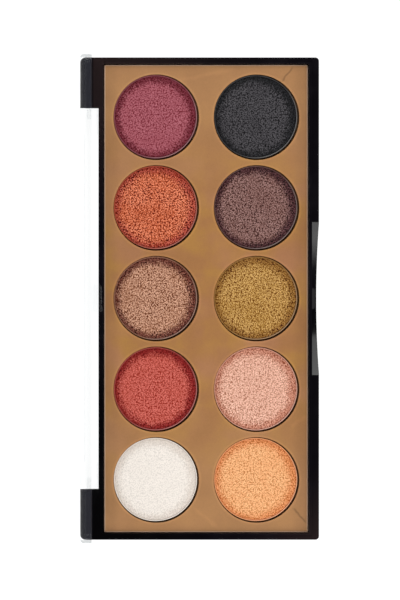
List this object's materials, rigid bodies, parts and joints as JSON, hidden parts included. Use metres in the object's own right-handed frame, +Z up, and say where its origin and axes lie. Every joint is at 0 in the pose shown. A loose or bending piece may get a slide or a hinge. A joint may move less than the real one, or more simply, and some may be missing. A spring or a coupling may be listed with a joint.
{
  "type": "eyeshadow palette",
  "caption": "Slim rectangular eyeshadow palette with round pressed-powder pans in a gold tray, a glossy black base and a clear hinged lid.",
  "frame": {"origin": "middle of the footprint, on the underside that the palette stands on, with the lid upright", "axes": "+X along the case, +Y from the thumb side to the hinge, +Z up"},
  "size_m": [0.1482, 0.0734, 0.0795],
  "materials": {
    "black_plastic": "high gloss",
    "gold_plastic": "satin metallic lacquer",
    "adhesive": "matte",
    "clear_plastic": "clear gloss",
    "clear_pin": "clear gloss",
    "pan_metal": "satin",
    "shade_plum": "shimmer powder",
    "shade_copper": "shimmer powder",
    "shade_taupe": "shimmer powder",
    "shade_coral": "shimmer powder",
    "shade_ivory": "shimmer powder",
    "shade_charcoal": "shimmer powder",
    "shade_mauve": "shimmer powder",
    "shade_olive": "shimmer powder",
    "shade_pink": "shimmer powder",
    "shade_peach": "shimmer powder"
  },
  "bodies": {
    "base": {"base_shell": "black_plastic", "pan_tray": "gold_plastic", "adhesive_pads": "adhesive", "hinge_pin_left": "clear_pin", "hinge_pin_right": "clear_pin", "pan_plum": "pan_metal", "pan_copper": "pan_metal", "pan_taupe": "pan_metal", "pan_coral": "pan_metal", "pan_ivory": "pan_metal", "pan_charcoal": "pan_metal", "pan_mauve": "pan_metal", "pan_olive": "pan_metal", "pan_pink": "pan_metal", "pan_peach": "pan_metal", "powder_plum": "shade_plum", "powder_copper": "shade_copper", "powder_taupe": "shade_taupe", "powder_coral": "shade_coral", "powder_ivory": "shade_ivory", "powder_charcoal": "shade_charcoal", "powder_mauve": "shade_mauve", "powder_olive": "shade_olive", "powder_pink": "shade_pink", "powder_peach": "shade_peach"},
    "lid": {"lid": "clear_plastic"}
  },
  "joints": [
    {"name": "lid_hinge", "type": "hinge", "parent": "base", "child": "lid", "pos_m": [0, 0.03397, 0.00887], "axis": [-1, 0, 0], "range_deg": [-90, 90]}
  ]
}
